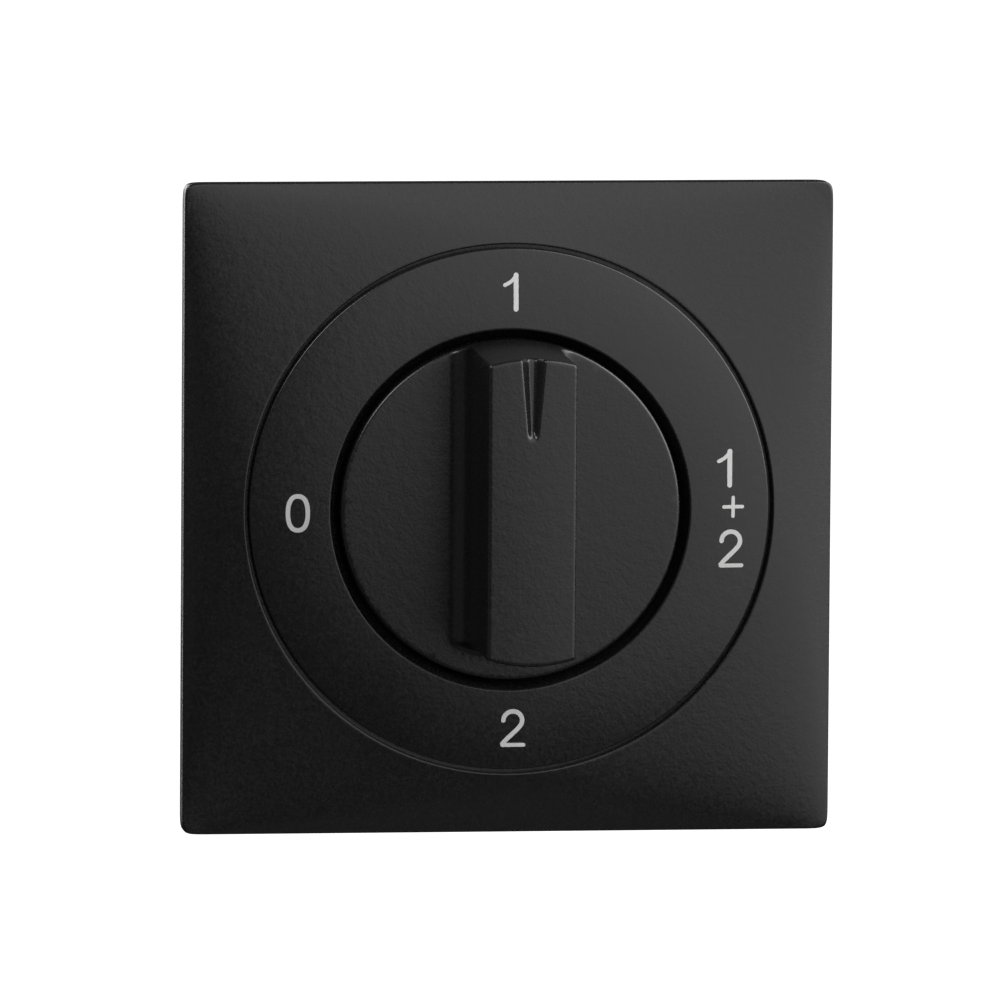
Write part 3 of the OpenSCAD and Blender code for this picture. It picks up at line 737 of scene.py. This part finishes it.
def build_stud(node, angle):
    low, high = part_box(node)
    top, tip = -low.y / MM, -high.y / MM
    n = STUD_AROUND
    rings = lathe([
        (0.0, top), (HEAD_R - HEAD_EDGE, top), (HEAD_R, top - HEAD_EDGE),
        (HEAD_R, top - HEAD_H), (STUD_R, top - HEAD_H), (STUD_R, THREAD_TOP)], n)
    steps = round((THREAD_TOP - tip) / (PITCH / STEPS_PER_TURN))
    for k in range(1, steps + 1):
        z = lerp(THREAD_TOP, tip, k / steps)
        fade = min(1.0, (THREAD_TOP - z) / PITCH)
        chamfer_r = STUD_R - STUD_CHAMFER + (z - tip)
        ring = []
        for i in range(n):
            r = min(STUD_R - fade * thread_cut(z / PITCH + i / n), chamfer_r)
            a = 2 * pi * i / n
            ring.append((r * cos(a), r * sin(a), z))
        rings.append(ring)
    rings += lathe([(TIP_RADII[0], tip), (TIP_RADII[1], tip + TIP_RISE), (0.0, tip + TIP_RISE)], n)
    cx, cy = STUD_CIRCLE_R * cos(radians(angle)), STUD_CIRCLE_R * sin(radians(angle))
    piece(node + "_threaded", *rings_mesh(moved(rings, cx, cy)), body="switch_body",
          replaces=[node], sharp=38, slot="tinned_stud")


# ------------------------------------------------------------------ contact springs

SPRING_SHARP = 45


def build_springs():
    """The three contact springs, welded, smoothed and carried by the parent body of the bridge's
    joint.
    """
    node = "contact_springs"
    joint = next(j for j in frame["record"]["behaviour"]["joints"] if j["name"] == "bridge_float")
    obj = bpy.data.objects.new("contact_springs_flexing", frame["nodes"][node].data.copy())
    bpy.context.scene.collection.objects.link(obj)
    bm = bmesh.new()
    bm.from_mesh(obj.data)
    bmesh.ops.remove_doubles(bm, verts=bm.verts, dist=WELD)
    smooth(bm, SPRING_SHARP)
    bm.to_mesh(obj.data)
    bm.free()
    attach(obj, joint["parent"])
    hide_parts(node)
    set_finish(obj, "spring_steel")
    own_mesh(obj)


for stud_node, stud_angle in STUD_ANGLES.items():
    build_stud(stud_node, stud_angle)
build_springs()
build_frame()
build_ring()
marks = build_marks()
marks.visible_glossy = False
build_knob()

# ------------------------------------------------------------------ materials

PEBBLE, BROAD, WARP, SMUDGE = 2300, 800, 900.0, 70
WARP_REACH = 0.0006
TONE_SPREAD = 0.32
PLASTIC_GRAIN, PLASTIC_CLOUD = 2200, 90
METAL_LINES, METAL_CLOUD = 700, 120


class Nodes:
    """A material's node tree, with a short way to add and link nodes."""

    def __init__(self, name):
        self.mat = bpy.data.materials.new(name)
        self.mat.use_nodes = True
        self.tree = self.mat.node_tree
        self.bsdf = next(n for n in self.tree.nodes if n.type == "BSDF_PRINCIPLED")

    def add(self, kind, **settings):
        node = self.tree.nodes.new("ShaderNode" + kind)
        inputs = settings.pop("inputs", {})
        for k, v in settings.items():
            setattr(node, k, v)
        for k, v in inputs.items():
            if hasattr(v, "is_output"):
                self.tree.links.new(v, node.inputs[k])
            else:
                node.inputs[k].default_value = v
        return node

    def link(self, out, socket):
        self.tree.links.new(out, socket)

    def set(self, **values):
        for k, v in values.items():
            self.bsdf.inputs[k.replace("_", " ")].default_value = v

    def place(self):
        return self.add("TexCoord").outputs["Object"]

    def noise(self, scale, detail, rough, vector):
        node = self.add("TexNoise", inputs={"Scale": scale, "Detail": detail, "Roughness": rough})
        self.link(vector, node.inputs["Vector"])
        return node.outputs["Fac"]

    def ramp(self, fac, low, high, out_low, out_high):
        node = self.add("MapRange", inputs={
            "Value": fac, "From Min": low, "From Max": high, "To Min": out_low, "To Max": out_high})
        return node.outputs["Result"]

    def math(self, op, a, b):
        return self.add("Math", operation=op, inputs={0: a, 1: b}).outputs[0]

    def bump(self, height, distance):
        """Raises the shader's normal by a height map, up to a distance in millimetres."""
        node = self.add("Bump", inputs={"Strength": 1.0, "Distance": distance * MM})
        self.link(height, node.inputs["Height"])
        self.link(node.outputs["Normal"], self.bsdf.inputs["Normal"])

    def tones(self, fac, dark, light):
        """Base colour between two tones."""
        mix = self.add("Mix", data_type="RGBA", inputs={"Factor": fac})
        mix.inputs["A"].default_value = dark
        mix.inputs["B"].default_value = light
        self.link(mix.outputs["Result"], self.bsdf.inputs["Base Color"])


def scaled(colour, k):
    return tuple(min(1, c * k) for c in colour) + (1.0,)


def grained_plastic(name, tone, rough, grain):
    """Black moulded plastic with a fine, irregular leather-like grain."""
    m = Nodes(name)
    where = m.place()
    warp = m.add("TexNoise", inputs={"Scale": WARP, "Detail": 1.0})
    m.link(where, warp.inputs["Vector"])
    shift = m.add("VectorMath", operation="MULTIPLY_ADD")
    m.link(warp.outputs["Color"], shift.inputs[0])
    shift.inputs[1].default_value = (WARP_REACH, WARP_REACH, WARP_REACH)
    m.link(where, shift.inputs[2])
    pebble = m.noise(PEBBLE, 2.0, 0.5, shift.outputs["Vector"])
    broad = m.noise(BROAD, 2.0, 0.5, where)
    cloud = m.noise(SMUDGE, 3.0, 0.6, where)
    m.bump(m.math("ADD", m.math("MULTIPLY", pebble, 0.65), m.math("MULTIPLY", broad, 0.85)), grain)
    fine = m.ramp(pebble, 0.32, 0.68, -0.03, 0.03)
    m.link(m.math("ADD", m.ramp(cloud, 0.3, 0.7, rough - 0.015, rough + 0.015), fine),
           m.bsdf.inputs["Roughness"])
    shade = m.math("ADD", m.ramp(pebble, 0.3, 0.7, 0.0, 0.8), m.math("MULTIPLY", cloud, 0.2))
    grey = (tone, tone, tone)
    m.tones(shade, scaled(grey, 1 - TONE_SPREAD), scaled(grey, 1 + TONE_SPREAD))
    m.set(IOR=1.5)
    return m.mat


def plain_plastic(name, colour, rough, grain=0.004):
    """Plastic, rubber, board or paint with a faint grain and slight unevenness."""
    m = Nodes(name)
    where = m.place()
    cloud = m.noise(PLASTIC_CLOUD, 3.0, 0.6, where)
    fine = m.noise(PLASTIC_GRAIN, 2.0, 0.6, where)
    m.tones(cloud, scaled(colour, 0.9), scaled(colour, 1.1))
    m.link(m.ramp(cloud, 0.3, 0.7, rough - 0.05, rough + 0.05), m.bsdf.inputs["Roughness"])
    m.bump(fine, grain)
    return m.mat


def metal(name, colour, rough, scratch=(0.4, 0.4, 12.0)):
    """Bare or plated metal with fine directional marks and slight staining."""
    m = Nodes(name)
    where = m.place()
    stretch = m.add("Mapping")
    m.link(where, stretch.inputs["Vector"])
    stretch.inputs["Scale"].default_value = scratch
    lines = m.noise(METAL_LINES, 3.0, 0.6, stretch.outputs["Vector"])
    cloud = m.noise(METAL_CLOUD, 4.0, 0.6, where)
    m.tones(cloud, scaled(colour, 0.82), scaled(colour, 1.06))
    total = m.math("ADD", m.math("MULTIPLY", lines, 0.5), m.math("MULTIPLY", cloud, 0.5))
    m.link(m.ramp(total, 0.3, 0.7, rough - 0.07, rough + 0.09), m.bsdf.inputs["Roughness"])
    m.bump(lines, 0.002)
    m.set(Metallic=1.0)
    return m.mat


MATERIALS = {
    "moulded_trim": grained_plastic("moulded_trim", 0.008, 0.25, 0.02),
    "moulded_knob": grained_plastic("moulded_knob", 0.008, 0.265, 0.02),
    "numeral_paint": plain_plastic("numeral_paint", (0.55, 0.55, 0.545), 0.7, 0.002),
    "zinc_plate": metal("zinc_plate", (0.62, 0.63, 0.65), 0.36, (12, 1, 1)),
    "seal_rubber": plain_plastic("seal_rubber", (0.022, 0.022, 0.022), 0.7, 0.01),
    "screw_steel": metal("screw_steel", (0.6, 0.6, 0.61), 0.3),
    "spring_steel": metal("spring_steel", (0.45, 0.46, 0.48), 0.28),
    "spindle_steel": metal("spindle_steel", (0.52, 0.53, 0.55), 0.3),
    "bush_brass": metal("bush_brass", (0.72, 0.53, 0.24), 0.3),
    "white_nylon": plain_plastic("white_nylon", (0.8, 0.79, 0.75), 0.45),
    "housing_resin": plain_plastic("housing_resin", (0.032, 0.033, 0.035), 0.5, 0.012),
    "carrier_resin": plain_plastic("carrier_resin", (0.32, 0.06, 0.045), 0.45),
    "contact_copper": metal("contact_copper", (0.78, 0.42, 0.27), 0.3),
    "contact_silver": metal("contact_silver", (0.86, 0.86, 0.84), 0.25),
    "insulator_board": plain_plastic("insulator_board", (0.62, 0.5, 0.28), 0.5),
    "tinned_stud": metal("tinned_stud", (0.68, 0.67, 0.64), 0.32),
    "nut_brass": metal("nut_brass", (0.74, 0.55, 0.25), 0.3),
    "washer_steel": metal("washer_steel", (0.62, 0.62, 0.63), 0.28),
}
SLOT_OF = {s["node"]: s["material_slot"] for s in frame["record"]["subparts"]}


def dress(obj, slot):
    obj.data.materials.clear()
    obj.data.materials.append(MATERIALS[slot])


for node_name, node in frame["nodes"].items():
    dress(node, SLOT_OF[node_name])
for obj in list(bpy.data.objects):
    if obj.get("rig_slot"):
        dress(obj, obj["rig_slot"])

# ------------------------------------------------------------------ floor, light and camera

CENTRE = Vector(dial(0, 0, 3.0))
FLOOR_HALF, FLOOR_Z = 6, -0.3
BACKDROP = 1.1
AMBIENT = 0.022
# name, azimuth and elevation in degrees, distance, width and height in metres, radiance
LIGHTS = [
    ("key", 38, 24, 1.0, 1.99, 1.99, 0.68),
    ("key_middle", 38, 24, 1.02, 1.8, 1.8, 0.44),
    ("key_heart", 43, 25, 1.04, 1.3, 1.3, 0.34),
    ("edge_light", 70, 22, 1.2, 1.1, 1.1, 3.6),
    ("edge_light_high", 66, 56, 1.2, 0.9, 0.9, 3.0),
    ("front_fill", -52, 38, 1.0, 0.5, 0.5, 6.5),
    ("low_fill", 14, -60, 1.0, 1.2, 1.2, 0.12),
    ("left_fill", -75, 6, 1.0, 2.4, 1.6, 0.08),
    ("rear_key", 215, 18, 1.0, 1.1, 1.1, 2.4),
    ("rear_side", 140, 12, 1.0, 0.9, 0.9, 1.4),
]
CAM_DISTANCE = 2.0
CAM_AZIMUTH, CAM_ELEVATION, CAM_ROLL = -7.52, 5.96, 0.392
AIM = Vector(dial(-1.11, 1.08, 3.0))
VIEW_WIDTH = 134.71 * MM
SENSOR_WIDTH = 36.0

floor_mesh = bpy.data.meshes.new("floor")
floor_corners = [(-1, -1), (1, -1), (1, 1), (-1, 1)]
floor_mesh.from_pydata(
    [(x * FLOOR_HALF, y * FLOOR_HALF, FLOOR_Z) for x, y in floor_corners], [], [(0, 1, 2, 3)])
floor = bpy.data.objects.new("floor", floor_mesh)
bpy.context.scene.collection.objects.link(floor)
white = Nodes("floor_white")
white.set(Base_Color=(0.9, 0.9, 0.9, 1), Roughness=0.9)
white.set(Emission_Color=(1, 1, 1, 1), Emission_Strength=BACKDROP)
floor_mesh.materials.append(white.mat)
floor.visible_glossy = False
floor.visible_diffuse = False

world = bpy.data.worlds.new("studio")
bpy.context.scene.world = world
world.use_nodes = True
tree = world.node_tree
background = tree.nodes["Background"]
path = tree.nodes.new("ShaderNodeLightPath")
sky = tree.nodes.new("ShaderNodeMapRange")
sky.inputs["To Min"].default_value = AMBIENT
sky.inputs["To Max"].default_value = BACKDROP
tree.links.new(path.outputs["Is Camera Ray"], sky.inputs["Value"])
tree.links.new(sky.outputs["Result"], background.inputs["Strength"])
background.inputs["Color"].default_value = (1, 1, 1, 1)


def direction(azimuth, elevation):
    """Unit vector away from the object; azimuth 0 is straight in front, positive to the right."""
    a, e = radians(azimuth), radians(elevation)
    return Vector((sin(a) * cos(e), -cos(a) * cos(e), sin(e)))


def softbox(name, azimuth, elevation, distance, width, height, radiance):
    """An elliptical light that faces the object."""
    light = bpy.data.lights.new(name, "AREA")
    light.shape = "ELLIPSE"
    light.size, light.size_y = width, height
    light.energy = radiance * pi * width * height * pi / 4
    obj = bpy.data.objects.new(name, light)
    bpy.context.scene.collection.objects.link(obj)
    away = direction(azimuth, elevation)
    obj.location = CENTRE + away * distance
    obj.rotation_mode = "QUATERNION"
    obj.rotation_quaternion = away.to_track_quat("Z", "Y")


for light_settings in LIGHTS:
    softbox(*light_settings)

cam_data = bpy.data.cameras.new("camera")
cam = bpy.data.objects.new("camera", cam_data)
bpy.context.scene.collection.objects.link(cam)
bpy.context.scene.camera = cam
cam_away = direction(CAM_AZIMUTH, CAM_ELEVATION)
cam.location = AIM + cam_away * CAM_DISTANCE
cam.rotation_mode = "QUATERNION"
cam.rotation_quaternion = (
    cam_away.to_track_quat("Z", "Y") @ Quaternion((0, 0, 1), radians(CAM_ROLL)))
cam_data.sensor_width = SENSOR_WIDTH
cam_data.lens = SENSOR_WIDTH * CAM_DISTANCE / VIEW_WIDTH
cam_data.clip_start, cam_data.clip_end = 0.05, 50.0

bpy.context.scene.view_settings.view_transform = "Standard"
bpy.context.scene.view_settings.look = "None"
bpy.context.scene.view_settings.exposure = 0.0
bpy.context.scene.view_settings.gamma = 1.0
